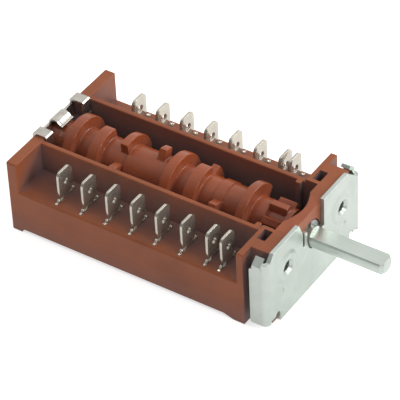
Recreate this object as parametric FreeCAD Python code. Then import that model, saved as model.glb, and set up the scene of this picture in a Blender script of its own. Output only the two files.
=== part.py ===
import FreeCAD, Part
import math
import os

# Rotary cam switch for a cooker: a moulded body with two rows of tabs, a cam drum between them and a steel
# plate across the front. Millimetres. The origin is on the shaft's axis, in the front face of the plate:
# +X runs out along the shaft, +Y across the body, +Z up out of the open top.

# body
x_rear = -84.2
rear_wall = 3.4
x_wing_rear = -9.4
x_wing_front = -7.4
x_front = -1.2
z_foot = -16.3
z_under = -15.3
z_ledge = -2.1
z_rear_top = 7.45
z_wall_top = 7.15
z_block_top = 8.1
ledge_thickness = 1.6
side_wall = 1.5
channel_half = 10.8
inner_wall = 1.5
ledge_width = 11.8
half_width = channel_half + inner_wall + ledge_width
x_channel_front = -5.5
rib_thickness = 1.2
ledge_round = 0.8
foot_length_rear = 2.9
foot_length_front = 9.6
foot_ramp = 3.3
flange_room = 4.3
block_half = half_width - flange_room
notch_half = 8.15
notch_ramp = 2.2
nub_rear = -11.9
nub_front = -10.3
nub_reach = 1.3
upright_round = 0.3
block_round = 0.4
pocket_x = -8.05
pocket_length = 2.6
pocket_inset = 1.2
pocket_width = 4.15

# tabs and their rows
row_start = -68.9
row_pitch = 8.07
row_last = -15.95
row_y = half_width - ledge_width / 2
tab_width = 6.3
tab_thickness = 0.8
tab_top = 7.5
tab_corner = 0.3
tab_corner_cut = 1.2
tab_hole_r = 0.95
tab_hole_z = 3.3
shoulder_half = 4.5
shoulder_height = 0.45
shoulder_dip = 0.3
tail_half = 1.9

# lobe tips and the contacts under them
lobe_gap = 1.75
lobe_r = channel_half - lobe_gap
pad_gap = 1.05
pad_top = -lobe_r - pad_gap
pad_thickness = 0.8
leaf_thickness = 0.3
leaf_width = 2.0
leaf_tip_y = 1.6
leaf_bump_y = 5.5
leaf_bump_run = 2.0
leaf_gap = 0.17
leaf_bump_z = -math.sqrt((lobe_r + leaf_gap) ** 2 - leaf_bump_y ** 2)
pad_length = 2.3
pad_length_last = 1.9
pad_hole = 1.25
pad_hole_last = 1.15
leaf_root = 2.2
rail_half = 3.0
rail_thickness = 0.6
rail_arm_width = 1.5
tip_r = 0.85
tip_height = 0.35
rivet_r = 0.45
rivet_head_r = 0.7
rivet_head = 0.35
sheet_thickness = 0.8
bridge_thickness = 1.2
window_half = 1.5
window_rise = 1.1
window_drop = 1.9

# cam drum
track_offset = 1.15
track_width = 2.5
hub_r = 5.4
base_r = 5.9
lobe_root = 0.7
journal_r = 5.3
end_float = 0.1
running_gap = 0.05
star_core_r = 4.0
star_r = 6.6
star_count = 8
star_rib = 2.1
x_star_rear = -15.6
x_star_front = -8.0
front_ring_r = 5.2
front_ring_length = 1.6
neck_r = 5.0
neck_length = 2.0
band_half = 2.4

# detent under the star end
detent_x = -11.6
detent_ball_r = 2.4
detent_ball_z = -(star_r + 0.1) - detent_ball_r
post_half = 3.1
post_top = detent_ball_z + 0.3
post_floor = 0.8
coil_r = 1.7
coil_wire_r = 0.3
coil_turns = 3

# bearing block, and the cone that gives the star end room in it
bearing_y0 = -10.9
bearing_y1 = 5.9
bearing_z0 = -9.0
bearing_step = 5.0
bearing_step_z = -1.5
bearing_step_drop = 0.9
ring_clearance = 0.35
cone_r = 10.6
cone_end_r = 7.6
cone_depth = 2.4

# shaft
shaft_r = 3.0
shaft_length = 22.5
shaft_tail = -13.5
flat_height = 1.6
tip_chamfer = 0.9
ring_groove_r = 2.4
ring_r = 4.3
ring_rear = -2.0
ring_thickness = 0.7

# front plate
plate_thickness = 1.2
plate_top = 9.2
plate_bottom = -16.3
plate_bend = 1.8
hole_spacing = 28.0
hole_r = 1.65
collar_r = 2.3
collar_depth = 1.2
screw_pocket_r = 2.8
screw_pocket_depth = 4.0
boss_r = 5.0
boss_rise = 0.45
flange_depth = 5.5
flange_top = 4.9
flange_top_left = 7.2
flange_bottom = -14.3
gap_left = 5.9
gap_right = 5.0
gap_bottom = 0.4
gap_flare = 1.7
gap_flare_z = 5.0
prong_left = 4.9
prong_width = 1.2
prong_top = 4.4
ear_corner_left = 3.7
ear_corner_right = 6.7
foot_step = 6.4
z_step = -13.4
locating_r = 1.0
locating_inset = 5.2
dimple_r = 0.95
dimple_rise = 0.3
dimple_places = [(8.3, -7.0), (7.4, -14.5)]
lug_rear = -4.6
lug_front = -0.9

# rear clip
clip_sheet = 0.7
clip_side_gap = 0.3
clip_half = channel_half - clip_side_gap
hook_width = 3.3
clip_drop = 6.5
clip_corner = 2.0
tongue_half = 2.75

V = FreeCAD.Vector
os.makedirs("parts", exist_ok=True)


def box(x0, x1, y0, y1, z0, z1):
    return Part.makeBox(x1 - x0, y1 - y0, z1 - z0, V(x0, y0, z0))


def rod_x(radius, x0, x1, y=0.0, z=0.0):
    return Part.makeCylinder(radius, x1 - x0, V(x0, y, z), V(1, 0, 0))


def rod_z(radius, x, y, z0, z1):
    return Part.makeCylinder(radius, z1 - z0, V(x, y, z0), V(0, 0, 1))


# A small round that is out of sight and repeats: eight flats stand for the round.
def small_rod_z(radius, x, y, z0, z1):
    points = []
    for number in range(8):
        angle = math.radians(45 * number + 22.5)
        points.append(V(x + radius * math.cos(angle), y + radius * math.sin(angle), z0))
    return face_from(points).extrude(V(0, 0, z1 - z0))


def face_from(points):
    return Part.Face(Part.makePolygon(points + [points[0]]))


def prism_x(outline, x0, x1):
    face = face_from([V(x0, y, z) for y, z in outline])
    return face.extrude(V(x1 - x0, 0, 0))


def prism_y(outline, y0, y1):
    face = face_from([V(x, y0, z) for x, z in outline])
    return face.extrude(V(0, y1 - y0, 0))


def mirror_y(shape):
    return shape.mirror(V(0, 0, 0), V(0, 1, 0))


def join(shapes):
    first = shapes[0]
    if len(shapes) > 1:
        first = first.fuse(shapes[1:])
    return first.removeSplitter()


def edges_at(shape, test):
    return [edge for edge in shape.Edges if test(edge.CenterOfMass, edge.BoundBox)]


def save(shape, name):
    shape.exportStep("parts/" + name + ".step")
    solids = len(shape.Solids)
    print(name, "solids", solids, "valid", shape.isValid(), "volume %.1f" % shape.Volume)


rows = [row_start + row_pitch * i for i in range(7)] + [row_last]
rail_arm_x = row_last - pad_length_last


# The side of the body below the ledge, from the rear foot to the front foot.
def side_outline():
    ramp_rear = x_rear + foot_length_rear
    ramp_front = x_front - foot_length_front
    return [
        (x_rear, z_foot),
        (ramp_rear, z_foot),
        (ramp_rear + 1.4, z_under),
        (ramp_front - foot_ramp, z_under),
        (ramp_front, z_foot),
        (x_front, z_foot),
        (x_front, z_ledge),
        (x_rear, z_ledge),
    ]


def body_base():
    base = prism_y(side_outline(), -half_width, half_width)
    corners = edges_at(base, lambda c, b: abs(c.z - z_ledge) < 0.01 and abs(abs(c.y) - half_width) < 0.01)
    return base.makeFillet(ledge_round, corners)


def round_top(shape, z, radius, test):
    edges = edges_at(shape, lambda c, b: abs(c.z - z) < 0.01 and test(c, b))
    return shape.makeFillet(radius, edges)


# Everything that stands up from the base: rear wall, the two channel walls and the front block.
def body_uprights():
    x_inside = x_rear + rear_wall
    rear = box(x_rear, x_inside, -half_width, half_width, z_foot, z_rear_top)
    rear = round_top(rear, z_rear_top, upright_round, lambda c, b: b.YLength > 10)
    wall_outer = channel_half + inner_wall
    wall = box(x_inside - 1, x_wing_rear + 1, -wall_outer, -channel_half, z_ledge - 1, z_wall_top)
    wall = round_top(wall, z_wall_top, upright_round, lambda c, b: b.XLength > 10)
    wing = box(x_wing_rear, x_wing_front, -half_width, half_width, z_foot, z_block_top)
    block = box(x_wing_rear, x_front, -block_half, block_half, z_foot, z_block_top)
    front = join([wing, block])
    front = round_top(front, z_block_top, block_round, lambda c, b: c.x < x_wing_front - 0.1)
    return [rear, wall, mirror_y(wall), front]


def rear_notch():
    top = z_rear_top + 1
    low = journal_r + running_gap
    outline = [
        (-notch_half, top), (-notch_half, notch_ramp), (-low, 0.0),
        (low, 0.0), (notch_half, notch_ramp), (notch_half, top),
    ]
    notch = prism_x(outline, x_rear - 1, x_rear + rear_wall + 1)
    return notch.fuse(rod_x(low, x_rear - 1, x_rear + rear_wall + 1))


# The hollow under each ledge is split into cells by ribs half way between the tabs. The last two tabs
# stand too close for a rib and share a cell.
def under_cells():
    x_inside = x_rear + rear_wall
    stops = [x_inside]
    for left, right in zip(rows[:6], rows[1:7]):
        stops.append((left + right) / 2)
    stops.append(x_wing_rear)
    cells = []
    for number in range(len(stops) - 1):
        x0 = stops[number] + (rib_thickness / 2 if number > 0 else 0)
        x1 = stops[number + 1] - (rib_thickness / 2 if number < len(stops) - 2 else 0)
        y0 = channel_half + inner_wall
        y1 = half_width - side_wall
        z0 = z_under + sheet_thickness - 0.001
        cell = box(x0, x1, y0, y1, z0, z_ledge - ledge_thickness)
        cells.append(cell)
        cells.append(mirror_y(cell))
    return cells


def sheet_seat():
    y1 = half_width - side_wall
    return box(x_rear + rear_wall, x_wing_rear, -y1, y1, z_under - 1, z_under + sheet_thickness)


def tab_slots():
    cuts = []
    for x in rows:
        half = tail_half + 0.05
        x0 = x - tab_thickness / 2
        cut = box(x0, x0 + tab_thickness, row_y - half, row_y + half, z_ledge - 5, z_ledge + 1)
        cuts.append(cut)
        cuts.append(mirror_y(cut))
    return cuts


def leaf_x(number, side):
    return rows[number] + side * track_offset


# Windows in the channel walls where a leaf, or the rail's arm, passes from the cell to the drum.
def wall_windows():
    cuts = []
    y0 = channel_half - 1
    y1 = channel_half + inner_wall + 1
    for number in range(7):
        for side in (-1, 1):
            x = leaf_x(number, side)
            y_low = min(side * y0, side * y1)
            x0 = x - window_half
            x1 = x + window_half
            cuts.append(box(x0, x1, y_low, y_low + y1 - y0, pad_top - window_drop, pad_top + window_rise))
    x0 = rail_arm_x - 0.4
    x1 = rail_arm_x + rail_arm_width + 0.4
    for side in (-1, 1):
        y_low = min(side * y0, side * y1)
        cuts.append(box(x0, x1, y_low, y_low + y1 - y0, pad_top - 0.4, pad_top + window_rise))
    return cuts


# Low bridges across the channel floor carry the rail.
def rail_bridges():
    parts = []
    z0 = z_under + sheet_thickness
    for number in (0, 2, 4, 5):
        x = (rows[number] + rows[number + 1]) / 2
        half = bridge_thickness / 2
        parts.append(box(x - half, x + half, -channel_half - 0.5, channel_half + 0.5, z0, pad_top))
    return parts


def detent_post():
    z0 = z_under + sheet_thickness
    reach = channel_half + 0.5
    post = box(detent_x - post_half, detent_x + post_half, -reach, reach, z0, post_top)
    return post.cut(rod_z(detent_ball_r + running_gap, detent_x, 0, z0 + post_floor, post_top + 1))


def wall_nubs():
    nub = box(nub_rear, nub_front, channel_half - nub_reach, channel_half + 0.5, z_ledge, z_wall_top)
    corners = edges_at(nub, lambda c, b: b.ZLength > 5 and c.y < channel_half)
    nub = nub.makeFillet(0.4, corners)
    return [nub, mirror_y(nub)]


# The cone lets the drum's star end turn in the block and shows as a shallow arc in its top edge.
def bearing_cone():
    deep = Part.makeCone(cone_r, cone_end_r, cone_depth, V(x_channel_front, 0, 0), V(1, 0, 0))
    wide = rod_x(cone_r, x_channel_front - 3.0, x_channel_front)
    return deep.fuse(wide)


def block_pockets():
    y0 = channel_half + pocket_inset
    pocket = box(pocket_x, pocket_x + pocket_length, y0, y0 + pocket_width, z_ledge, z_block_top + 1)
    corners = edges_at(pocket, lambda c, b: b.ZLength > 5)
    pocket = pocket.makeFillet(0.3, corners)
    return [pocket, mirror_y(pocket)]


# Room at the front for what the plate carries: its side flanges, and the collars round its screw holes.
def plate_seats():
    cuts = []
    for side in (-1, 1):
        y0 = min(side * block_half, side * (half_width + 1))
        y1 = max(side * block_half, side * (half_width + 1))
        cuts.append(box(x_wing_front, x_front + 1, y0, y1, z_foot - 1, z_block_top + 1))
        y = side * hole_spacing / 2
        cuts.append(rod_x(screw_pocket_r, x_front - screw_pocket_depth, x_front + 1, y))
    return cuts


def make_housing():
    body = join([body_base()] + body_uprights())
    x_inside = x_rear + rear_wall
    z0 = z_under + sheet_thickness
    channel = box(x_inside, x_channel_front, -channel_half, channel_half, z0 - 0.5, z_block_top + 1)
    slot = box(x_channel_front - 0.5, x_front + 1, bearing_y0, bearing_y1, bearing_z0, z_block_top + 1)
    body = body.cut([channel, slot, sheet_seat(), rear_notch()] + block_pockets())
    body = body.fuse(rail_bridges() + wall_nubs() + [detent_post()])
    body = body.cut(under_cells() + tab_slots() + wall_windows() + plate_seats() + [bearing_cone()])
    corners = edges_at(body, lambda c, b: abs(abs(c.y) - half_width) < 0.01 and b.ZLength > 15 and c.x < -80)
    body = body.makeFillet(0.5, corners)
    return body.removeSplitter()


def make_bearing_block():
    block = box(x_channel_front, x_front, bearing_y0, bearing_y1, bearing_z0, z_block_top)
    step_top = z_block_top - bearing_step_drop
    step = box(x_front - 1.0, x_front + 1, bearing_step, bearing_y1 + 1, bearing_step_z, step_top)
    bore = rod_x(shaft_r + running_gap, x_channel_front - 1, x_front + 1)
    ring_room = rod_x(ring_r + ring_clearance, ring_rear - 0.1, x_front + 1)
    return block.cut([step, bore, ring_room, bearing_cone()]).removeSplitter()


# A lobe in the plane across the axis: full radius from one angle to the other, with a straight flank at
# each end. Angles are in degrees from +Z towards +Y.
def lobe(x0, width, start, end, radius=lobe_r, flank=24.0):
    def at(angle, r):
        a = math.radians(angle)
        return V(x0, r * math.sin(a), r * math.cos(a))

    middle = (start + end) / 2
    inner = hub_r - lobe_root
    edges = [
        Part.makeLine(at(start - flank, inner), at(start, radius)),
        Part.Arc(at(start, radius), at(middle, radius), at(end, radius)).toShape(),
        Part.makeLine(at(end, radius), at(end + flank, inner)),
    ]
    if end - start < 100:
        edges.append(Part.makeLine(at(end + flank, inner), at(start - flank, inner)))
        face = Part.Face(Part.Wire(edges))
    else:
        edges.append(Part.makeLine(at(end + flank, inner), V(x0, 0, 0)))
        edges.append(Part.makeLine(V(x0, 0, 0), at(start - flank, inner)))
        face = Part.Face(Part.Wire(edges))
    return face.extrude(V(width, 0, 0))


# Every lobe on the drum: the middle of its track, its width and the angles that it covers.
lobes = [
    (-75.6, 3.0, -150, 118),
    (leaf_x(0, -1) + 0.1, 2.7, -128, 18),
    (leaf_x(1, 1), 2.8, -100, 95),
    (leaf_x(2, -1), track_width, 140, 205),
    (leaf_x(2, 1), track_width, 165, 230),
    (-49.3, 2.1, 4, 25),
    (leaf_x(3, -1), track_width, 150, 215),
    (leaf_x(3, 1), track_width, -110, 95),
    (leaf_x(4, -1), track_width, -126, 18),
    (leaf_x(4, 1) + 0.1, track_width, 44, 150),
    (leaf_x(5, -1), track_width, 130, 190),
    (leaf_x(5, 1), track_width, 175, 225),
    (leaf_x(6, 1), track_width, -100, 100),
]


def drum_core():
    core = rod_x(hub_r, x_rear + end_float, x_star_rear - neck_length)
    neck = rod_x(neck_r, x_star_rear - neck_length, x_star_rear)
    star = rod_x(star_core_r, x_star_rear, x_star_front + front_ring_length)
    rings = []
    for x in rows[:7]:
        rings.append(rod_x(base_r, x - band_half, x + band_half))
    front_ring = rod_x(front_ring_r, x_star_front, x_star_front + front_ring_length)
    return [core, neck, star, front_ring] + rings


def star_ribs():
    ribs = []
    for number in range(star_count):
        rib = box(x_star_rear, x_star_front, -star_rib / 2, star_rib / 2, 0, star_r)
        corners = edges_at(rib, lambda c, b: abs(c.z - star_r) < 0.01 and b.XLength > 5)
        rib = rib.makeFillet(0.5, corners)
        rib.rotate(V(0, 0, 0), V(1, 0, 0), 360.0 / star_count * (number + 0.5))
        ribs.append(rib)
    return ribs


def make_drum():
    shapes = drum_core() + star_ribs()
    for x, width, start, end in lobes:
        flank = 10.0 if end - start < 30 else 24.0
        shapes.append(lobe(x - width / 2, width, start, end, lobe_r, flank))
    drum = join(shapes)
    relief = rod_x(journal_r + 1.0, x_rear - 1, x_rear + rear_wall + end_float)
    relief = relief.cut(rod_x(journal_r, x_rear - 2, x_rear + rear_wall + 2))
    return drum.cut([relief, shaft_blank(0.0)]).removeSplitter()


def shaft_blank(grow):
    blank = rod_x(shaft_r + grow, shaft_tail, shaft_length)
    half = shaft_r + 1
    flat = box(shaft_tail - 1, x_star_front + front_ring_length, -half, half, flat_height + grow, half)
    return blank.cut(flat)


def make_shaft():
    shaft = shaft_blank(0.0)
    tip = edges_at(shaft, lambda c, b: c.x > shaft_length - 0.01)
    shaft = shaft.makeChamfer(tip_chamfer, tip)
    half = shaft_r + 1
    flat = box(0.0, shaft_length + 1, -half, half, flat_height, half)
    groove = rod_x(shaft_r + 1, ring_rear, ring_rear + ring_thickness)
    groove = groove.cut(rod_x(ring_groove_r, ring_rear - 1, ring_rear + 2))
    return shaft.cut([flat, groove]).removeSplitter()


def make_ring():
    ring = rod_x(ring_r, ring_rear, ring_rear + ring_thickness)
    ring = ring.cut(rod_x(ring_groove_r, ring_rear - 1, ring_rear + 2))
    mouth = prism_x([(-0.5, 0), (-4.2, 6.0), (1.0, 6.0)], ring_rear - 1, ring_rear + 2)
    return ring.cut(mouth).removeSplitter()


# The flat of the front plate, seen from the front, with the gap for the bearing between its two ears.
def plate_outline():
    edge = half_width - plate_bend
    foot = half_width - foot_step
    return [
        (-half_width + ear_corner_left, plate_top),
        (-gap_left - gap_flare, plate_top),
        (-gap_left, gap_flare_z),
        (-gap_left, gap_bottom),
        (-prong_left, gap_bottom),
        (-prong_left, prong_top),
        (-prong_left + prong_width, prong_top),
        (-prong_left + prong_width, gap_bottom),
        (gap_right, gap_bottom),
        (gap_right, plate_top),
        (half_width - ear_corner_right, plate_top),
        (edge, flange_top),
        (edge, z_step),
        (foot, z_step),
        (foot, plate_bottom),
        (-foot, plate_bottom),
        (-foot, z_step),
        (-edge, z_step),
        (-edge, flange_top_left),
    ]


def plate_holes():
    cuts = [rod_x(shaft_r + 0.35, x_front - 1, 1)]
    for side in (-1, 1):
        cuts.append(rod_x(locating_r, x_front - 1, 1, side * (half_width - locating_inset), z_step))
    return cuts


# Bend, side flange and crimped lug for the side at +Y.
def plate_flange(corner_top):
    inner = half_width - plate_thickness
    x_back = -plate_bend
    y_bend = half_width - plate_bend
    outer = rod_z(plate_bend, x_back, y_bend, flange_bottom, corner_top)
    hollow = rod_z(plate_bend - plate_thickness, x_back, y_bend, flange_bottom - 1, corner_top + 1)
    quarter = box(x_back, 0, y_bend, half_width, flange_bottom, corner_top)
    bend = outer.common(quarter).cut(hollow)
    flange = box(-flange_depth, x_back, inner, half_width, flange_bottom, flange_top)
    rear = edges_at(flange, lambda c, b: c.x < -flange_depth + 0.01 and b.YLength > 0.5 and b.ZLength < 0.1)
    flange = flange.makeFillet(0.8, rear)
    outline = [(inner, 4.0), (half_width, 4.0), (half_width, 6.1), (half_width - 2.2, 7.9),
               (half_width - 2.9, 7.1), (inner, 5.6)]
    lug = prism_x(outline, lug_rear, lug_front - 1.0)
    return [bend, flange, lug]


def mount_boss(side):
    y = side * hole_spacing / 2
    rise = Part.makeCone(boss_r, boss_r - 1.0, boss_rise, V(0, y, 0), V(1, 0, 0))
    dish = Part.makeCone(boss_r - 0.6, boss_r - 1.6, boss_rise, V(x_front, y, 0), V(1, 0, 0))
    collar = rod_x(collar_r, x_front - collar_depth, -0.1, y)
    return rise, dish, collar


def dimples():
    found = []
    for inset, z in dimple_places:
        for side in (-1, 1):
            centre = V(0, side * (half_width - inset), z)
            found.append(Part.makeCone(dimple_r, dimple_r / 2, dimple_rise, centre, V(1, 0, 0)))
    return found


def make_plate():
    sheet = prism_x(plate_outline(), x_front, 0.0)
    shapes = [sheet] + dimples()
    shapes += plate_flange(flange_top)
    shapes += [mirror_y(piece) for piece in plate_flange(flange_top_left)]
    cuts = plate_holes()
    for side in (-1, 1):
        rise, dish, collar = mount_boss(side)
        shapes += [rise, collar]
        y = side * hole_spacing / 2
        cuts.append(dish.cut(rod_x(collar_r, x_front - 1, 2, y)))
        cuts.append(rod_x(hole_r, x_front - 3, 2, y))
        cuts.append(Part.makeCone(hole_r, hole_r + 0.8, 0.8, V(boss_rise - 0.8, y, 0), V(1, 0, 0)))
    return join(shapes).cut(cuts).removeSplitter()


def make_clip():
    back = x_rear - clip_sheet
    top = z_rear_top
    inner = x_rear + rear_wall
    hook_inner = clip_half - hook_width
    plate = box(back, x_rear, -clip_half, clip_half, -clip_drop, top - 1.05)
    low = edges_at(plate, lambda c, b: c.z < -clip_drop + 0.1 and b.XLength > 0.5 and b.YLength < 0.1)
    plate = plate.makeFillet(clip_corner, low)
    hook = prism_y(
        [(back, 6.0), (back, top + 0.3), (back + 0.4, top + clip_sheet), (inner + 0.3, top + clip_sheet),
         (inner + clip_sheet, top + 0.3), (inner + clip_sheet, 3.6), (inner + clip_sheet + 0.5, 3.0),
         (inner + 0.6, 2.8), (inner, 3.4), (inner, top), (x_rear, top), (x_rear, 6.0)],
        hook_inner, clip_half)
    tongue = prism_y(
        [(back, 6.0), (back + 0.1, 7.2), (back + 0.7, 7.7), (back + 2.1, 7.75), (back + 2.9, 7.35),
         (inner - 0.4, 6.55), (inner + 0.35, 6.3), (inner + 0.25, 5.8), (inner - 0.6, 5.95),
         (back + 2.5, 6.85), (back + 1.9, 7.1), (x_rear + 0.1, 7.05), (x_rear, 6.8), (x_rear, 6.0)],
        -tongue_half, tongue_half)
    bead = prism_y(
        [(back + 2.35, top - 0.45), (back + 2.9, top + 0.05),
         (inner - 0.3, top - 0.6), (inner - 0.5, top - 1.25)],
        -tongue_half + 0.85, tongue_half - 0.85)
    return join([plate, hook, mirror_y(hook), tongue, bead])


# One side of a flat tab, from the top down: the blade, the two humps of the shoulder that sits on the
# ledge, and the tail that goes through its slot. Both rows have the same tab, with its cut corner at +Y.
def tab_edge(corner, bottom):
    half = tab_width / 2
    stop = z_ledge + shoulder_height
    dip = stop - shoulder_dip
    return [
        (half - corner, tab_top), (half, tab_top - corner), (half, stop + 1.0), (half - 0.5, stop + 0.5),
        (tail_half, stop + 0.4), (tail_half, stop), (shoulder_half - 1.7, stop), (shoulder_half - 1.4, dip),
        (shoulder_half - 0.9, dip), (shoulder_half - 0.6, stop),
        (shoulder_half - 0.2, stop), (shoulder_half, stop - 0.2), (shoulder_half, z_ledge),
        (tail_half, z_ledge), (tail_half, bottom),
    ]


def tab_outline(middle, bottom):
    outline = [(middle + y, z) for y, z in tab_edge(tab_corner_cut, bottom)]
    outline += [(middle - y, z) for y, z in reversed(tab_edge(tab_corner, bottom))]
    return outline


def make_tab(number, side):
    x = rows[number]
    x0 = x - tab_thickness / 2
    bottom = pad_top - pad_thickness
    y = side * row_y
    blade = prism_x(tab_outline(y, bottom), x0, x0 + tab_thickness)
    blade = blade.cut(rod_x(tab_hole_r, x0 - 1, x0 + 2, y, tab_hole_z))
    x_end = x + side * pad_length if number < 7 else rail_arm_x
    pad = box(min(x, x_end), max(x, x_end), y - tail_half, y + tail_half, bottom, pad_top)
    pad = pad.cut(small_rod_z(rivet_r, pad_hole_x(number, side), y, bottom - 1, pad_top + 1))
    return blade.fuse(pad).removeSplitter()


def pad_hole_x(number, side):
    if number == 7:
        return row_last - pad_hole_last
    return rows[number] + side * pad_hole


# A leaf spring: flat under its tab's pad, a pointed bump under the cam track and a tip under the rail.
def make_leaf(number, side):
    z_top = pad_top - pad_thickness
    z_low = z_top - leaf_thickness
    outline = [
        (row_y + tail_half, z_top), (leaf_bump_y + leaf_bump_run, z_top), (leaf_bump_y, leaf_bump_z),
        (leaf_bump_y - leaf_bump_run, z_top), (leaf_tip_y, z_top), (leaf_tip_y, z_low),
        (leaf_bump_y - leaf_bump_run + 0.2, z_low), (leaf_bump_y, leaf_bump_z - 0.5),
        (leaf_bump_y + leaf_bump_run - 0.2, z_low), (row_y + tail_half, z_low),
    ]
    x = leaf_x(number, side)
    leaf = prism_x(outline, x - leaf_width / 2, x + leaf_width / 2)
    x_pad = pad_hole_x(number, side)
    half = leaf_root / 2
    root = box(x_pad - half, x_pad + half, row_y - tail_half, row_y + tail_half, z_low, z_top)
    leaf = leaf.fuse(root).cut(small_rod_z(rivet_r, x_pad, row_y, z_low - 1, z_top + 1))
    if side < 0:
        leaf = mirror_y(leaf)
    return leaf.removeSplitter()


def make_tips():
    found = []
    z0 = pad_top - pad_thickness
    for number in range(7):
        for side in (-1, 1):
            button = small_rod_z(tip_r, leaf_x(number, side), side * (leaf_tip_y + 0.95), z0, z0 + tip_height)
            found.append(button)
    return Part.makeCompound(found)


def make_rail():
    z0 = pad_top
    z1 = pad_top + rail_thickness
    strip = box(rows[0] - 3.5, row_last + 0.9, -rail_half, rail_half, z0, z1)
    x1 = rail_arm_x + rail_arm_width
    arm = box(rail_arm_x, x1, -row_y - tail_half, row_y + tail_half, z0, z1)
    rail = strip.fuse(arm)
    for side in (-1, 1):
        rail = rail.cut(small_rod_z(rivet_r, pad_hole_x(7, side), side * row_y, z0 - 1, z1 + 1))
    return rail.removeSplitter()


def rivet(x, y, z_low, z_high):
    shank = small_rod_z(rivet_r - 0.02, x, y, z_low - rivet_head, z_high + rivet_head)
    low = small_rod_z(rivet_head_r, x, y, z_low - rivet_head, z_low)
    high = small_rod_z(rivet_head_r, x, y, z_high, z_high + rivet_head)
    return shank.fuse([low, high]).removeSplitter()


def make_rivets():
    found = []
    z_pad = pad_top - pad_thickness
    for number in range(7):
        for side in (-1, 1):
            found.append(rivet(pad_hole_x(number, side), side * row_y, z_pad - leaf_thickness, pad_top))
    for side in (-1, 1):
        found.append(rivet(pad_hole_x(7, side), side * row_y, z_pad, pad_top + rail_thickness))
    return Part.makeCompound(found)


def make_sheet():
    y1 = half_width - side_wall
    return box(x_rear + rear_wall, x_wing_rear, -y1, y1, z_under, z_under + sheet_thickness)


def make_ball():
    return Part.makeSphere(detent_ball_r, V(detent_x, 0, detent_ball_z))


def make_coil():
    z0 = z_under + sheet_thickness + post_floor + coil_wire_r
    z1 = detent_ball_z - math.sqrt((detent_ball_r + coil_wire_r) ** 2 - coil_r ** 2) - 0.02
    height = z1 - z0
    helix = Part.makeHelix(height / coil_turns, height, coil_r)
    start = helix.Vertexes[0].Point
    corners = []
    for number in range(6):
        angle = math.radians(60 * number)
        corners.append(start + V(coil_wire_r * math.cos(angle), 0, coil_wire_r * math.sin(angle)))
    ring = Part.makePolygon(corners + [corners[0]])
    coil = Part.Wire(helix).makePipeShell([ring], True, True)
    coil.translate(V(detent_x, 0, z0))
    return coil


save(make_housing(), "housing")
save(make_bearing_block(), "bearing_block")
save(make_plate(), "front_plate")
save(make_drum(), "cam_drum")
save(make_shaft(), "shaft")
save(make_ring(), "shaft_ring")
save(make_clip(), "rear_clip")
save(make_sheet(), "base_sheet")
for number in range(8):
    save(make_tab(number, -1), "tab_left_%d" % (number + 1))
    save(make_tab(number, 1), "tab_right_%d" % (number + 1))
for number in range(7):
    save(make_leaf(number, -1), "leaf_left_%d" % (number + 1))
    save(make_leaf(number, 1), "leaf_right_%d" % (number + 1))
save(make_rail(), "common_rail")
save(make_tips(), "contact_tips")
save(make_rivets(), "contact_rivets")
save(make_ball(), "detent_ball")
save(make_coil(), "detent_spring")
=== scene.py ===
import math

import bmesh
import bpy
import numpy as np
from mathutils import Matrix, Vector


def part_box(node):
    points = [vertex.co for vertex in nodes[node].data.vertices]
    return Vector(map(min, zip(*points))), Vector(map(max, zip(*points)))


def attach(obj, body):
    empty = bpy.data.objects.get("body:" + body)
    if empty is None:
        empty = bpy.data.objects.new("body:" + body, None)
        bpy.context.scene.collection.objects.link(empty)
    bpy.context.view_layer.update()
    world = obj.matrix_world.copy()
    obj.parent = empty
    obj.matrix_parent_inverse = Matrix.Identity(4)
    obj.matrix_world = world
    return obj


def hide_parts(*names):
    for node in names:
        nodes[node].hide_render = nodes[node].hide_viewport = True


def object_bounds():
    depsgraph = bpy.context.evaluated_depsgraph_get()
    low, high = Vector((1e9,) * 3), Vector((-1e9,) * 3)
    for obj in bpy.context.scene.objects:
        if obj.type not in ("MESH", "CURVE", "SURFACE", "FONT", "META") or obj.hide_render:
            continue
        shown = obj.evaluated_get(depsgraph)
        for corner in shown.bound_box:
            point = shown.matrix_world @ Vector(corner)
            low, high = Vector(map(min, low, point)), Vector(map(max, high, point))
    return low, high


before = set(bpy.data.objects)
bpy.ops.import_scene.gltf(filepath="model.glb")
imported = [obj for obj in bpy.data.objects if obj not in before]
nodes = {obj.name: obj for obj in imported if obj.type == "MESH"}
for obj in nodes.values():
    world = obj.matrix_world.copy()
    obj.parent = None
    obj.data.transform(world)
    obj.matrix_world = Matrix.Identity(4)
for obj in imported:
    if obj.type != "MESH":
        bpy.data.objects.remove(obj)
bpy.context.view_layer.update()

print("frame loaded:", len(nodes), "nodes")


# small helpers for materials

def newMaterial(name):
    material = bpy.data.materials.new(name)
    material.use_nodes = True
    tree = material.node_tree
    shader = tree.nodes["Principled BSDF"]
    return material, tree, shader


def addNode(tree, kind, settings=None, inputs=None):
    node = tree.nodes.new(kind)
    for key, value in (settings or {}).items():
        setattr(node, key, value)
    for key, value in (inputs or {}).items():
        if isinstance(value, bpy.types.NodeSocket):
            tree.links.new(value, node.inputs[key])
        else:
            node.inputs[key].default_value = value
    return node


def objectPoint(tree, stretch=(1, 1, 1)):
    place = addNode(tree, "ShaderNodeTexCoord")
    mapping = addNode(tree, "ShaderNodeMapping", inputs={"Vector": place.outputs["Object"], "Scale": stretch})
    return mapping.outputs["Vector"]


def noiseAt(tree, point, scale, detail, roughness=0.55, distortion=0.0):
    node = addNode(tree, "ShaderNodeTexNoise", inputs={
        "Vector": point, "Scale": scale, "Detail": detail, "Roughness": roughness, "Distortion": distortion})
    return node.outputs["Fac"]


def ramp(tree, factor, stops):
    node = addNode(tree, "ShaderNodeValToRGB", inputs={"Fac": factor})
    elements = node.color_ramp.elements
    while len(elements) < len(stops):
        elements.new(0.5)
    for element, (position, colour) in zip(elements, stops):
        element.position = position
        element.color = (*colour, 1.0) if len(colour) == 3 else colour
    return node.outputs["Color"]


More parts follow.
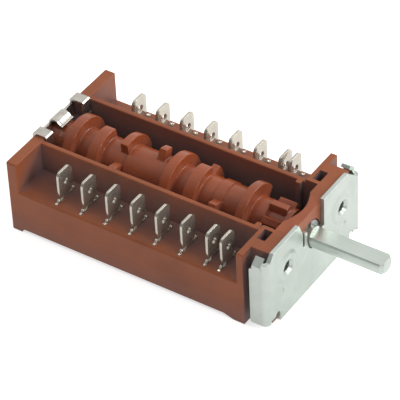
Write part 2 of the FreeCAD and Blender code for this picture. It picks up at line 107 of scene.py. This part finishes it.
def mixColour(tree, factor, first, second):
    node = addNode(tree, "ShaderNodeMix", {"data_type": "RGBA"})
    for socket, value in ((0, factor), (6, first), (7, second)):  # factor, colour A and colour B
        if isinstance(value, bpy.types.NodeSocket):
            tree.links.new(value, node.inputs[socket])
        else:
            node.inputs[socket].default_value = value if socket == 0 else (*value, 1.0)
    return node.outputs[2]  # the mixed colour


def rangeOf(tree, value, low, high, outLow=0.0, outHigh=1.0):
    node = addNode(tree, "ShaderNodeMapRange", inputs={
        "Value": value, "From Min": low, "From Max": high, "To Min": outLow, "To Max": outHigh})
    return node.outputs["Result"]


relief = {"samples": 6, "depth": 0.00005}


def bumpFrom(tree, height, strength, edge):
    # rounded edges first, then the fine relief on top of them
    rounded = addNode(tree, "ShaderNodeBevel", {"samples": relief["samples"]}, {"Radius": edge})
    node = addNode(tree, "ShaderNodeBump", inputs={
        "Height": height, "Strength": strength, "Distance": relief["depth"], "Normal": rounded.outputs["Normal"]})
    return node.outputs["Normal"]


# brown mouldings: body, bearing block and drum

# in each moulding, the greyer recess colour and the most of it that shows are painted shade, laid where the surface
# is closed in
mouldings = {
    "housing": {
        "colour": (0.305, 0.082, 0.027), "dark": (0.235, 0.062, 0.021), "pale": (0.38, 0.12, 0.05),
        "deep": (0.20, 0.165, 0.175), "recessShadeMost": 0.9,
        "roughness": 0.40, "specular": 0.34, "grain": 1500.0, "relief": 0.10, "edge": 0.00022},
    "bearing": {
        "colour": (0.345, 0.09, 0.033), "dark": (0.27, 0.068, 0.025), "pale": (0.42, 0.13, 0.055),
        "deep": (0.24, 0.15, 0.135), "recessShadeMost": 0.5,
        "roughness": 0.42, "specular": 0.34, "grain": 1500.0, "relief": 0.10, "edge": 0.0003},
    "drum": {
        "colour": (0.335, 0.070, 0.017), "dark": (0.25, 0.050, 0.013), "pale": (0.42, 0.115, 0.04),
        "deep": (0.28, 0.14, 0.12), "recessShadeMost": 0.35,
        "roughness": 0.25, "specular": 0.5, "grain": 1300.0, "relief": 0.07, "edge": 0.00012},
    "laminate": {
        "colour": (0.20, 0.10, 0.05), "dark": (0.14, 0.07, 0.035), "pale": (0.28, 0.16, 0.09),
        "deep": (0.16, 0.10, 0.07), "recessShadeMost": 0.5,
        "roughness": 0.55, "specular": 0.3, "grain": 500.0, "relief": 0.15, "edge": 0.0001},
}
# clouds, flow marks and specks: the noise, the range of it that shows, and the most that it adds
clouding = {"scale": 60.0, "detail": 3.0, "from": 0.30, "to": 0.58}
flowing = {"stretch": (0.35, 1.0, 1.0), "scale": 190.0, "detail": 4.0, "roughness": 0.6, "distortion": 0.6,
           "from": 0.45, "to": 0.75, "most": 0.35,
           "roughFrom": 0.3, "roughTo": 0.7, "smoother": 0.05, "rougher": 0.10}
speckling = {"detail": 2.0, "from": 0.64, "to": 0.8, "most": 0.25}
# painted shade in recesses: how far the occlusion looks, and the occlusion values where the painted shade starts
# and where it is full
hollow = {"reach": 0.018, "open": 0.70, "closed": 0.16, "samples": 6}
plasticIor = 1.5


def mouldedPlastic(name):
    values = mouldings[name]
    material, tree, shader = newMaterial(name + "Moulding")
    point = objectPoint(tree)
    clouds = noiseAt(tree, point, clouding["scale"], clouding["detail"])
    flow = noiseAt(tree, objectPoint(tree, flowing["stretch"]), flowing["scale"], flowing["detail"],
                   flowing["roughness"], flowing["distortion"])
    specks = noiseAt(tree, point, values["grain"], speckling["detail"])
    base = ramp(tree, clouds, [(clouding["from"], values["dark"]), (clouding["to"], values["colour"])])
    flowShare = rangeOf(tree, flow, flowing["from"], flowing["to"], 0.0, flowing["most"])
    base = mixColour(tree, flowShare, base, values["pale"])
    speckShare = rangeOf(tree, specks, speckling["from"], speckling["to"], 0.0, speckling["most"])
    base = mixColour(tree, speckShare, base, values["pale"])
    # painted shade: where the moulding is deep and closed in, its colour is mixed towards a greyer recess colour
    # that stands in for how shade looks there
    closed = addNode(tree, "ShaderNodeAmbientOcclusion", {"samples": hollow["samples"]},
                     {"Distance": hollow["reach"]})
    recessShadeShare = rangeOf(tree, closed.outputs["AO"], hollow["open"], hollow["closed"], 0.0, values["recessShadeMost"])
    base = mixColour(tree, recessShadeShare, base, values["deep"])
    tree.links.new(base, shader.inputs["Base Color"])
    rough = rangeOf(tree, flow, flowing["roughFrom"], flowing["roughTo"],
                    values["roughness"] - flowing["smoother"], values["roughness"] + flowing["rougher"])
    tree.links.new(rough, shader.inputs["Roughness"])
    shader.inputs["IOR"].default_value = plasticIor
    shader.inputs["Specular IOR Level"].default_value = values["specular"]
    normal = bumpFrom(tree, specks, values["relief"], values["edge"])
    tree.links.new(normal, shader.inputs["Normal"])
    return material


# metals

metals = {
    "plateZinc": {
        "colour": (0.60, 0.655, 0.605), "dark": (0.51, 0.555, 0.51), "streak": (60, 60, 60),
        "roughness": 0.34, "edge": 0.00025, "metallic": 0.85},
    "shaftZinc": {
        "colour": (0.64, 0.70, 0.645), "dark": (0.54, 0.59, 0.54), "streak": (30, 200, 200),
        "roughness": 0.36, "edge": 0.0003, "metallic": 0.85},
    "clipSteel": {
        "colour": (0.66, 0.62, 0.555), "dark": (0.46, 0.435, 0.39), "streak": (80, 80, 80),
        "roughness": 0.24, "edge": 0.0002, "metallic": 0.95},
    "tabMetal": {
        "colour": (0.64, 0.60, 0.51), "dark": (0.55, 0.515, 0.44), "streak": (40, 40, 240),
        "roughness": 0.10, "edge": 0.00010, "metallic": 0.80},
    "leafBronze": {
        "colour": (0.72, 0.50, 0.28), "dark": (0.5, 0.33, 0.18), "streak": (90, 90, 90),
        "roughness": 0.35, "edge": 0.0001, "metallic": 0.95},
    "contactBrass": {
        "colour": (0.76, 0.60, 0.30), "dark": (0.55, 0.42, 0.2), "streak": (90, 90, 90),
        "roughness": 0.35, "edge": 0.0001, "metallic": 0.95},
    "tipSilver": {
        "colour": (0.85, 0.85, 0.82), "dark": (0.6, 0.6, 0.58), "streak": (90, 90, 90),
        "roughness": 0.3, "edge": 0.0001, "metallic": 0.95},
    "springSteel": {
        "colour": (0.5, 0.5, 0.5), "dark": (0.3, 0.3, 0.3), "streak": (90, 90, 90),
        "roughness": 0.3, "edge": 0.0001, "metallic": 0.95},
}
plating = {"cloudScale": 110.0, "cloudDetail": 4.0, "streakScale": 6.0, "streakDetail": 5.0, "streakRoughness": 0.6,
           "shadeFrom": 0.7, "shadeTo": 1.3, "roughFrom": 0.3, "roughTo": 0.7, "smoother": 0.05, "rougher": 0.08,
           "relief": 0.05}


def platedMetal(name):
    values = metals[name]
    material, tree, shader = newMaterial(name)
    clouds = noiseAt(tree, objectPoint(tree), plating["cloudScale"], plating["cloudDetail"])
    streaks = noiseAt(tree, objectPoint(tree, values["streak"]), plating["streakScale"], plating["streakDetail"],
                      plating["streakRoughness"])
    mixed = addNode(tree, "ShaderNodeMath", {"operation": "ADD"}, {0: clouds, 1: streaks})
    shade = rangeOf(tree, mixed.outputs[0], plating["shadeFrom"], plating["shadeTo"])
    base = mixColour(tree, shade, values["dark"], values["colour"])
    tree.links.new(base, shader.inputs["Base Color"])
    rough = rangeOf(tree, streaks, plating["roughFrom"], plating["roughTo"],
                    values["roughness"] - plating["smoother"], values["roughness"] + plating["rougher"])
    tree.links.new(rough, shader.inputs["Roughness"])
    shader.inputs["Metallic"].default_value = values["metallic"]
    normal = bumpFrom(tree, streaks, plating["relief"], values["edge"])
    tree.links.new(normal, shader.inputs["Normal"])
    return material


finishes = {name: mouldedPlastic(name) for name in mouldings}
finishes.update({name: platedMetal(name) for name in metals})
finishOf = {"housing": "housing", "bearing_block": "bearing", "front_plate": "plateZinc", "cam_drum": "drum",
            "shaft": "shaftZinc", "shaft_ring": "springSteel", "rear_clip": "clipSteel",
            "base_sheet": "laminate", "common_rail": "contactBrass", "contact_tips": "tipSilver",
            "contact_rivets": "contactBrass", "detent_ball": "springSteel", "detent_spring": "springSteel"}


def finishFor(node):
    if node.startswith("tab_"):
        return finishes["tabMetal"]
    if node.startswith("leaf_"):
        return finishes["leafBronze"]
    return finishes[finishOf[node]]


for nodeName, nodeObject in nodes.items():
    for slot in nodeObject.material_slots:
        slot.material = finishFor(nodeName)
print("materials set")


# shared sizes: a piece below is worked out in millimetres from the frame's origin

mm = 0.001
rows = {"count": 8, "halfTab": 0.4, "trackShift": 1.15}  # each row of tabs has a cam track on either side of it
rowX = [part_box("tab_left_%d" % (number + 1))[1].x / mm - rows["halfTab"] for number in range(rows["count"])]


def trackX(row, side):
    return rowX[row] + side * rows["trackShift"]


def linkPiece(name, mesh, sharpAngle):
    # smooth faces, kept sharp where two of them meet at more than sharpAngle degrees
    mesh.polygons.foreach_set("use_smooth", np.ones(len(mesh.polygons), dtype=bool))
    mesh.set_sharp_from_angle(angle=math.radians(sharpAngle))
    piece = bpy.data.objects.new(name, mesh)
    bpy.context.collection.objects.link(piece)
    return piece


# cam drum. It stands for the solid drum, with its lobes where they show on the real one, a small round at each
# rim and a hollow one at each foot. Angles are in degrees from +Z towards +Y.

drum = {
    "rimRound": 0.30, "footRound": 0.40, "flankRoot": 4.7, "journal": 5.3, "journalEnd": -80.7,
    # the grid: how many angles, how far apart the rings are, how wide a step is and where rings crowd at a face
    "angles": 240, "ringGap": 1.5, "stepHalf": 0.06, "sharpAngle": 42,
    "faceRings": [-0.40, -0.30, -0.14, -0.04, -0.002, 0.002, 0.04, 0.14, 0.30, 0.40],
    # where each length of the core starts, and its radius
    "core": [(-80.7, 5.4), (-74.0, 5.8), (-58.3, 6.2), (-44.9, 5.8), (-29.5, 6.15), (-26.4, 5.8),
             (-17.8, 5.4), (-13.5, 4.0), (-8.0, 5.2)],
    # middle of the track, width, start and end of the full radius, radius, near and far flank
    "lobes": [
        (-75.5, 3.0, -150, 112, 9.05, 24, 24),
        (trackX(0, 1) + 0.15, 3.4, -128, 20, 8.3, 24, 35),
        (trackX(1, 1) + 0.15, 2.4, -17, 95, 9.05, 10, 24),
        (trackX(1, 1) - 0.5, 2.4, -140, -62, 9.05, 24, 13),
        (trackX(2, -1), 2.5, 140, 205, 9.05, 24, 24),
        (trackX(2, 1), 2.5, 165, 230, 9.05, 24, 24),
        (-48.85, 2.3, 6, 24, 9.05, 30, 10),
        (trackX(3, -1), 2.5, 150, 215, 9.05, 24, 24),
        (trackX(3, 1) + 0.1, 2.9, -110, 95, 9.05, 24, 24),
        (trackX(4, 1) - 0.4, 3.7, -126, 22, 8.1, 24, 10),
        (trackX(4, 1) + 0.2, 2.3, 52, 150, 8.5, 20, 24),
        (trackX(5, -1), 2.5, 130, 190, 9.05, 24, 24),
        (trackX(5, 1) - 0.2, 2.5, 175, 304, 9.05, 24, 13),
        (trackX(6, 1) + 0.2, 2.6, -100, 60, 8.9, 24, 30),
    ],
    "starRear": -13.5, "starFront": -8.0, "starRadius": 6.6, "starCount": 7,
    "ribHalf": 1.05, "ribRound": 5.0,
    "boreRadius": 3.02, "boreFlat": 1.62, "boreEnd": -13.6,
}


def lobeSection(angle, start, end, reach, near, far):
    # full radius between two angles, and outside them a straight line down to the root in polar form:
    # r = p q sin(w) / (p sin(a) + q sin(w - a)), where a runs from 0 at the full radius p to w at the root q
    root = drum["flankRoot"]
    turned = np.mod(angle - start, 360.0)
    span = end - start

    def flank(past, wide):
        a = np.radians(np.clip(past, 0.0, wide))
        w = math.radians(wide)
        return reach * root * math.sin(w) / (reach * np.sin(a) + root * np.sin(w - a))

    section = np.where(turned <= span, reach, 0.0)
    section = np.where((turned > span) & (turned <= span + far), flank(turned - span, far), section)
    return np.where(turned > 360.0 - near, flank(360.0 - turned, near), section)


def starSection(angle):
    # each rib is a flat-topped bar: the lesser of its top plane and its side plane in polar form, softened
    pitch = 360.0 / drum["starCount"]
    offset = np.radians(np.mod(angle + pitch / 2, pitch) - pitch / 2)
    top = drum["starRadius"] / np.cos(offset)
    side = drum["ribHalf"] / np.maximum(np.abs(np.sin(offset)), 0.05)
    soft = drum["ribRound"]
    return -np.log(np.exp(-soft * top) + np.exp(-soft * side)) / soft


def drumRadius(x, angle):
    # the core's radius along x, raised wherever a lobe or the star stands higher. A rim falls by a quarter
    # round before its face, and the foot rises from the core by a quarter round outside that face
    starts = [start for start, radius in drum["core"]]
    radii = [radius for start, radius in drum["core"]]
    wide = drum["stepHalf"]
    stepX = [x.min()] + [start + shift for start in starts[1:] for shift in (-wide, wide)] + [x.max()]
    stepR = [radius for radius in radii for copy in (0, 1)]
    core = np.interp(x, stepX, stepR)[:, None]
    core = np.where(x[:, None] < drum["journalEnd"], drum["journal"], core)
    radius = np.broadcast_to(core, (len(x), len(angle))).copy()
    standing = [(middle, width, lobeSection(angle, *shape)) for middle, width, *shape in drum["lobes"]]
    rear, front = drum["starRear"], drum["starFront"]
    standing.append(((rear + front) / 2, front - rear, starSection(angle)))
    rim, foot = drum["rimRound"], drum["footRound"]
    for middle, width, section in standing:
        inset = width / 2 - np.abs(x - middle)[:, None]
        fall = rim - np.sqrt(rim ** 2 - np.clip(rim - inset, 0.0, rim) ** 2)
        rise = foot - np.sqrt(foot ** 2 - np.clip(foot + inset, 0.0, foot) ** 2)
        outside = np.minimum(section[None, :], core + rise)
        raised = np.where(inset >= 0.0, section[None, :] - fall, np.where(inset > -foot, outside, 0.0))
        radius = np.maximum(radius, raised)
    return radius


def drumStations(start, end):
    # the rings' places along X: close together at the faces and steps, and further apart between them
    faces = [middle + side * width / 2 for middle, width, *shape in drum["lobes"] for side in (-1, 1)]
    faces += [drum["starRear"], drum["starFront"]]
    steps = [place for place, radius in drum["core"]]
    wide = drum["stepHalf"]
    close = (np.array(faces)[:, None] + np.array(drum["faceRings"])[None, :]).ravel()
    stepped = (np.array(steps)[:, None] + np.array([-wide, wide])[None, :]).ravel()
    even = np.arange(start, end, drum["ringGap"])
    stations = np.unique(np.round(np.concatenate([even, [end], close, stepped]), 3))
    return stations[(stations >= start) & (stations <= end)]


def ringSurface(name, x, radius, angle):
    # rings round the X axis, y = r sin(a) and z = r cos(a), joined by quads and closed at both ends by a pole
    rings, count = radius.shape
    turned = np.radians(angle)[None, :]
    across = np.stack([np.broadcast_to(x[:, None], radius.shape), radius * np.sin(turned),
                       radius * np.cos(turned)], axis=-1).reshape(-1, 3)
    points = np.concatenate([across, [[x[0], 0, 0], [x[-1], 0, 0]]]) * mm
    ring, place = np.meshgrid(np.arange(rings - 1), np.arange(count), indexing="ij")
    after = (place + 1) % count
    quads = np.stack([ring * count + place, (ring + 1) * count + place, (ring + 1) * count + after,
                      ring * count + after], axis=-1).reshape(-1, 4)
    first = np.arange(count)
    second = (first + 1) % count
    last = (rings - 1) * count
    rear = np.stack([first, second, np.full(count, rings * count)], axis=-1)
    front = np.stack([last + second, last + first, np.full(count, rings * count + 1)], axis=-1)
    mesh = bpy.data.meshes.new(name)
    mesh.from_pydata(points.tolist(), [], quads.tolist() + rear.tolist() + front.tolist())
    return linkPiece(name, mesh, drum["sharpAngle"])


def makeDrum():
    low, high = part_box("cam_drum")
    angle = np.arange(drum["angles"]) * 360.0 / drum["angles"]
    x = drumStations(low.x / mm, high.x / mm)
    radius = drumRadius(x, angle)
    # the front face turns in to the bore for the shaft, which ends on a flat bottom
    upward = np.cos(np.radians(angle))
    flat = drum["boreFlat"] / np.maximum(upward, 0.01)
    bore = np.where(upward > 0, np.minimum(drum["boreRadius"], flat), drum["boreRadius"])
    x = np.concatenate([x, [x[-1], drum["boreEnd"]]])
    radius = np.concatenate([radius, [bore, bore]])
    piece = ringSurface("camDrum", x, radius, angle)
    piece.data.materials.append(finishes["drum"])
    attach(piece, "rotor")
    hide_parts("cam_drum")
    print("cam drum made:", len(piece.data.polygons), "faces")


makeDrum()


# flat tabs. Each is a blade with a hole, on a foot with three round bumps, and a pad that its rivet holds

tab = {
    "thick": 0.8, "holeZ": 3.3, "holeRadius": 0.95, "around": 96, "sharpAngle": 35,
    "edgeRound": 0.12, "edgeMiddle": 0.3,  # a cut edge, and where its middle point lies as a share of it
    # each straight side of the blade: where it faces, in degrees from +Y towards +Z, and how far it lies.
    # The corners are the rounder, the lower cornerPower is
    "sides": [(0, 3.15), (45, 4.35), (90, 4.2), (146.3, 4.29), (180, 3.15), (225, 4.74), (270, 3.95), (315, 4.74)],
    "cornerPower": 26.0,
    "ledge": -2.1, "footTop": -1.98, "footHalf": 4.9, "footInset": 0.01, "footEdge": 0.09,
    "neckHalf": 1.5, "neckTop": -0.3, "tailHalf": 1.9, "stepHalf": 0.01,
    "padTop": -10.1, "padLow": -10.9, "padEdge": 0.08,
    # the round bumps on the foot: where across the row, how high, and their half sizes
    "bumps": [-3.3, 1.75, 3.5], "bumpZ": -1.72, "bumpSize": (0.58, 0.62, 0.62), "bumpRings": 13, "bumpSides": 24,
}


def bladeSurface(x, y):
    # a closed band round the hole: its section goes out along one face, from the hole's edge to the outline, and
    # back along the other. The outline is the polygon in polar form,
    # 1 / r = (sum of (cos(a - side) / d) ** p) ** (1 / p)
    angle = np.linspace(0, 2 * np.pi, tab["around"], endpoint=False)
    power = tab["cornerPower"]
    facing = [np.maximum(np.cos(angle - math.radians(side)), 0.0) / away for side, away in tab["sides"]]
    outline = sum(share ** power for share in facing) ** (-1.0 / power)
    half, edge = tab["thick"] / 2, tab["edgeRound"]
    middle = edge * tab["edgeMiddle"]
    # on the outline or the hole, how far out from it, and how far along X
    section = np.array([
        (0, 0.0, -half + edge), (0, middle, -half + middle), (0, edge, -half),
        (1, -edge, -half), (1, -middle, -half + middle), (1, 0.0, -half + edge),
        (1, 0.0, half - edge), (1, -middle, half - middle), (1, -edge, half),
        (0, edge, half), (0, middle, half - middle), (0, 0.0, half - edge)])
    onOutline, out, along = section[:, 0:1], section[:, 1:2], section[:, 2:3]
    radius = np.where(onOutline == 1, outline[None, :], tab["holeRadius"]) + out
    points = np.stack([x + along + 0 * radius, y + radius * np.cos(angle),
                       tab["holeZ"] + radius * np.sin(angle)], axis=-1)
    rings, count = radius.shape
    ring, place = np.meshgrid(np.arange(rings), np.arange(count), indexing="ij")
    onward, after = (ring + 1) % rings, (place + 1) % count
    quads = np.stack([ring * count + place, onward * count + place, onward * count + after,
                      ring * count + after], axis=-1)
    return points.reshape(-1, 3), quads.reshape(-1, 4).tolist()


def barAlongY(y, left, right, low, high, edge):
    # a bar whose box may change along y, with its four long edges cut by edge, and a flat cap at each end
    corners = [(left, low + edge), (left, high - edge), (left + edge, high), (right - edge, high),
               (right, high - edge), (right, low + edge), (right - edge, low), (left + edge, low)]
    points = np.stack([np.stack(np.broadcast_arrays(x, y, z), axis=-1) for x, z in corners], axis=1)
    count = len(corners)
    step, place = np.meshgrid(np.arange(len(y) - 1), np.arange(count), indexing="ij")
    after = (place + 1) % count
    quads = np.stack([step * count + place, step * count + after, (step + 1) * count + after,
                      (step + 1) * count + place], axis=-1).reshape(-1, 4)
    ends = [list(range(count)), list(range((len(y) - 1) * count, len(y) * count))]
    return points.reshape(-1, 3), quads.tolist() + ends


def ballSurface(middle, half):
    # an ellipsoid round its middle, as rings from the lower pole to the upper one: r = cos(lift), z = sin(lift)
    lift = np.linspace(-np.pi / 2, np.pi / 2, tab["bumpRings"])[1:-1]
    turn = np.linspace(0, 2 * np.pi, tab["bumpSides"], endpoint=False)
    ball = np.stack([np.cos(lift)[:, None] * np.cos(turn), np.cos(lift)[:, None] * np.sin(turn),
                     np.sin(lift)[:, None] + 0 * turn[None, :]], axis=-1).reshape(-1, 3)
    points = np.concatenate([ball, [[0, 0, -1], [0, 0, 1]]]) * np.array(half) + np.array(middle)
    count, rings = len(turn), len(lift)
    ring, place = np.meshgrid(np.arange(rings - 1), np.arange(count), indexing="ij")
    after = (place + 1) % count
    quads = np.stack([ring * count + place, ring * count + after, (ring + 1) * count + after,
                      (ring + 1) * count + place], axis=-1).reshape(-1, 4)
    first = np.arange(count)
    second = (first + 1) % count
    last = (rings - 1) * count
    lower = np.stack([second, first, np.full(count, rings * count)], axis=-1)
    upper = np.stack([last + first, last + second, np.full(count, rings * count + 1)], axis=-1)
    return points, quads.tolist() + lower.tolist() + upper.tolist()


def pieceFrom(name, surfaces, sharpAngle):
    # joins closed surfaces in one mesh, in metres, and turns every face outwards
    points, faces, used = [], [], 0
    for part, polygons in surfaces:
        points.append(np.asarray(part) * mm)
        faces += [[index + used for index in polygon] for polygon in polygons]
        used += len(part)
    mesh = bpy.data.meshes.new(name)
    mesh.from_pydata(np.concatenate(points).tolist(), [], faces)
    shape = bmesh.new()
    shape.from_mesh(mesh)
    bmesh.ops.recalc_face_normals(shape, faces=shape.faces)
    shape.to_mesh(mesh)
    shape.free()
    return linkPiece(name, mesh, sharpAngle)


def makeTab(side, number):
    node = "tab_%s_%d" % (side, number + 1)
    low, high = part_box(node)
    x = high.x / mm - tab["thick"] / 2 if side == "left" else low.x / mm + tab["thick"] / 2
    y = (low.y + high.y) / 2 / mm
    wide = tab["stepHalf"]
    steps = [sign * at + shift for sign in (-1, 1) for at in (tab["neckHalf"], tab["tailHalf"])
             for shift in (-wide, wide)]
    across = np.unique([-tab["footHalf"], tab["footHalf"]] + steps)
    away = np.abs(across)
    top = np.where(away < tab["neckHalf"], tab["neckTop"], tab["footTop"])
    bottom = np.where(away < tab["tailHalf"], tab["padLow"], tab["ledge"])
    half = tab["thick"] / 2 - tab["footInset"]
    foot = barAlongY(y + across, x - half, x + half, bottom, top, tab["footEdge"])
    padY = y + np.array([-tab["tailHalf"], tab["tailHalf"]])
    pad = barAlongY(padY, low.x / mm, high.x / mm, tab["padLow"], tab["padTop"], tab["padEdge"])
    bumps = [ballSurface((x, y + at, tab["bumpZ"]), tab["bumpSize"]) for at in tab["bumps"]]
    piece = pieceFrom(node + "_plated", [bladeSurface(x, y), foot, pad] + bumps, tab["sharpAngle"])
    piece.data.materials.append(finishes["tabMetal"])
    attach(piece, "body")
    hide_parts(node)


for side in ("left", "right"):
    for number in range(rows["count"]):
        makeTab(side, number)
print("sixteen tabs made")


# floor, light and camera

# floorGlow is what the part gets from the floor, cameraGlow what the camera sees and glossGlow what metal mirrors
stage = {
    "floorColour": (0.90, 0.90, 0.90), "floorGlow": 0.28, "cameraGlow": 0.62, "glossGlow": 0.27,
    "floorGap": 0.0002, "floorHalf": 3.0, "floorRoughness": 0.9, "floorSpecular": 0.1,
    "skyBright": 0.92, "skyDim": 0.22, "skyFrom": (-0.30, 0.72, 0.62), "skyLow": -0.15, "skyHigh": 0.6,
    "lampTarget": (-0.03, 0.0, 0.0),
}
lamps = {
    "keyLamp": {"place": (0.42, 0.55, 0.50), "size": (0.45, 0.35), "power": 2.4},
    "shaftLamp": {"place": (0.80, -0.05, 0.45), "size": (0.35, 0.30), "power": 2.4},
}


def makeFloor():
    low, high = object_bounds()
    z = low.z - stage["floorGap"]
    size = stage["floorHalf"]
    mesh = bpy.data.meshes.new("floor")
    corners = [(-size, -size, z), (size, -size, z), (size, size, z), (-size, size, z)]
    mesh.from_pydata(corners, [], [(0, 1, 2, 3)])
    floor = bpy.data.objects.new("floor", mesh)
    bpy.context.collection.objects.link(floor)
    material, tree, shader = newMaterial("floorPaper")
    shader.inputs["Base Color"].default_value = (*stage["floorColour"], 1.0)
    shader.inputs["Roughness"].default_value = stage["floorRoughness"]
    shader.inputs["Specular IOR Level"].default_value = stage["floorSpecular"]
    shader.inputs["Emission Color"].default_value = (1.0, 1.0, 1.0, 1.0)
    # the camera sees a whiter sheet than the part does, so the shadows stay faint
    path = addNode(tree, "ShaderNodeLightPath")
    seen = rangeOf(tree, path.outputs["Is Camera Ray"], 0.0, 1.0, 0.0, stage["cameraGlow"] - stage["floorGlow"])
    mirrored = rangeOf(tree, path.outputs["Is Glossy Ray"], 0.0, 1.0, stage["floorGlow"], stage["glossGlow"])
    glow = addNode(tree, "ShaderNodeMath", {"operation": "ADD"}, {0: seen, 1: mirrored}).outputs[0]
    tree.links.new(glow, shader.inputs["Emission Strength"])
    floor.data.materials.append(material)


def makeWorld():
    # a soft room, bright behind and above the part and dim on the camera's side
    world = bpy.data.worlds.new("softRoom")
    bpy.context.scene.world = world
    world.use_nodes = True
    tree = world.node_tree
    place = addNode(tree, "ShaderNodeTexCoord")
    towards = Vector(stage["skyFrom"]).normalized()
    facing = addNode(tree, "ShaderNodeVectorMath", {"operation": "DOT_PRODUCT"},
                     {0: place.outputs["Generated"], 1: towards})
    strength = rangeOf(tree, facing.outputs["Value"], stage["skyLow"], stage["skyHigh"],
                       stage["skyDim"], stage["skyBright"])
    background = tree.nodes["Background"]
    background.inputs["Color"].default_value = (1.0, 1.0, 1.0, 1.0)
    tree.links.new(strength, background.inputs["Strength"])


def makeLamp(name):
    values = lamps[name]
    light = bpy.data.lights.new(name, "AREA")
    light.shape = "RECTANGLE"
    light.size, light.size_y = values["size"]
    light.energy = values["power"]
    lamp = bpy.data.objects.new(name, light)
    bpy.context.collection.objects.link(lamp)
    lamp.location = values["place"]
    direction = Vector(stage["lampTarget"]) - Vector(values["place"])
    lamp.rotation_euler = direction.to_track_quat("-Z", "Y").to_euler()


# angles in degrees, azimuth from -Y towards +X; distances in metres, lens and sensor in millimetres
camera = {"azimuth": 35.04, "elevation": 40.50, "roll": 2.84, "target": (-0.030, -0.0097, 0.00685),
          "distance": 0.7246, "lens": 243.1, "sensor": 36.0, "clipStart": 0.01, "clipEnd": 20.0}


def makeCamera():
    a = math.radians(camera["azimuth"])
    e = math.radians(camera["elevation"])
    r = math.radians(camera["roll"])
    back = Vector((math.sin(a) * math.cos(e), -math.cos(a) * math.cos(e), math.sin(e)))
    right = Vector((math.cos(a), math.sin(a), 0.0))
    down = right.cross(back)
    rightRolled = right * math.cos(r) + down * math.sin(r)
    downRolled = down * math.cos(r) - right * math.sin(r)
    data = bpy.data.cameras.new("photoCamera")
    data.lens = camera["lens"]
    data.sensor_width = camera["sensor"]
    data.clip_start, data.clip_end = camera["clipStart"], camera["clipEnd"]
    seen = bpy.data.objects.new("photoCamera", data)
    bpy.context.collection.objects.link(seen)
    matrix = Matrix((rightRolled, -downRolled, back)).transposed().to_4x4()
    matrix.translation = Vector(camera["target"]) + back * camera["distance"]
    seen.matrix_world = matrix
    bpy.context.scene.camera = seen


makeFloor()
makeWorld()
for name in lamps:
    makeLamp(name)
makeCamera()
bpy.context.scene.view_settings.view_transform = "Standard"
print("stage, lamps and camera set")
